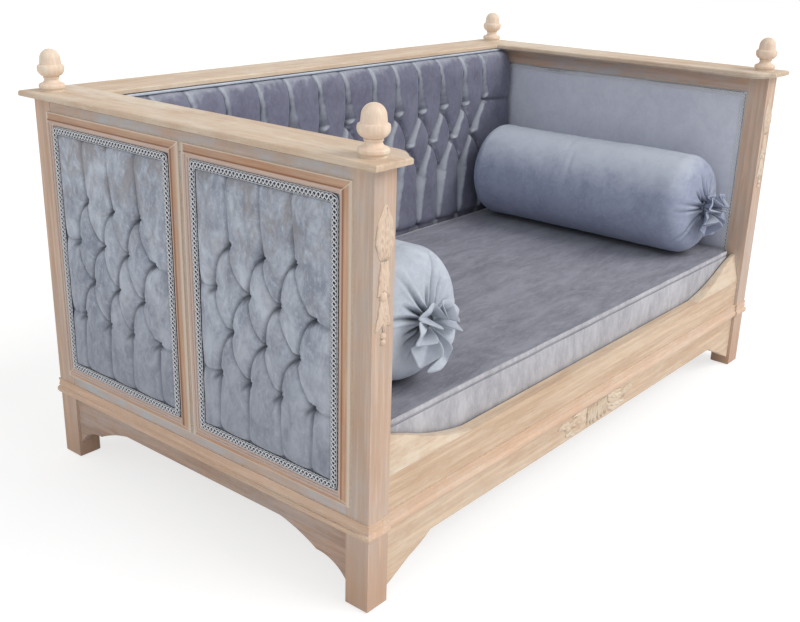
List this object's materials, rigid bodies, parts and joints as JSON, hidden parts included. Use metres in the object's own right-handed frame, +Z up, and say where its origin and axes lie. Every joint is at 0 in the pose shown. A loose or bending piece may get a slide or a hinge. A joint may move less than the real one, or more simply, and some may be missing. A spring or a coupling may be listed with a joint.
{
  "type": "dog bed",
  "caption": "Panelled wooden dog bed like a small day bed, with tufted ends and back, acorn finials, shaped aprons, a loose mattress and tied bolsters.",
  "frame": {"origin": "on the floor under the middle of the bed", "axes": "+Z up, +X along the bed's length to its right end, the open front towards -Y"},
  "size_m": [1.336, 0.786, 0.734],
  "materials": {
    "limed_wood": "limed and waxed",
    "inner_wood": "sawn",
    "velvet": "cut velvet",
    "gimp_braid": "woven braid",
    "cord": "twisted cord"
  },
  "bodies": {
    "frame": {"apron_back": "limed_wood", "apron_carving": "limed_wood", "apron_front": "limed_wood", "apron_left": "limed_wood", "apron_right": "limed_wood", "back_bottom_rail": "limed_wood", "back_outer_panel": "limed_wood", "back_pad_board": "inner_wood", "back_stile": "limed_wood", "back_top_rail": "limed_wood", "base_moulding_back": "limed_wood", "base_moulding_front": "limed_wood", "base_moulding_left": "limed_wood", "base_moulding_right": "limed_wood", "cap_back": "limed_wood", "cap_left": "limed_wood", "cap_right": "limed_wood", "end_board_left": "inner_wood", "end_board_right": "inner_wood", "end_bottom_rail_left": "limed_wood", "end_bottom_rail_right": "limed_wood", "end_mullion_left": "limed_wood", "end_mullion_right": "limed_wood", "end_top_rail_left": "limed_wood", "end_top_rail_right": "limed_wood", "finial_back_left": "limed_wood", "finial_back_right": "limed_wood", "finial_dowels": "inner_wood", "finial_front_left": "limed_wood", "finial_front_right": "limed_wood", "front_rail": "limed_wood", "inner_gimp_left": "gimp_braid", "inner_gimp_right": "gimp_braid", "inner_panel_left": "velvet", "inner_panel_right": "velvet", "outer_gimp_left": "gimp_braid", "outer_gimp_right": "gimp_braid", "panel_moulding_left": "limed_wood", "panel_moulding_right": "limed_wood", "post_back_left": "limed_wood", "post_back_right": "limed_wood", "post_carving_left": "limed_wood", "post_carving_right": "limed_wood", "post_front_left": "limed_wood", "post_front_right": "limed_wood", "rail_wing_left": "limed_wood", "rail_wing_right": "limed_wood", "seat_ledgers": "inner_wood", "seat_slats": "inner_wood", "tufted_back_pad": "velvet", "tufted_pad_front_left": "velvet", "tufted_pad_front_right": "velvet", "tufted_pad_rear_left": "velvet", "tufted_pad_rear_right": "velvet"},
    "mattress": {"mattress": "velvet"},
    "bolster_left": {"bolster_left": "velvet", "bolster_tie_left": "cord"},
    "bolster_right": {"bolster_right": "velvet", "bolster_tie_right": "cord"}
  },
  "joints": [
    {"name": "mattress_lift", "type": "slide", "parent": "frame", "child": "mattress", "axis": [0, 0, 1], "range_m": [0, 0.15]},
    {"name": "bolster_left_pull", "type": "slide", "parent": "mattress", "child": "bolster_left", "axis": [0, -1, 0], "range_m": [0, 0.65]},
    {"name": "bolster_right_pull", "type": "slide", "parent": "mattress", "child": "bolster_right", "axis": [0, -1, 0], "range_m": [0, 0.65]}
  ]
}
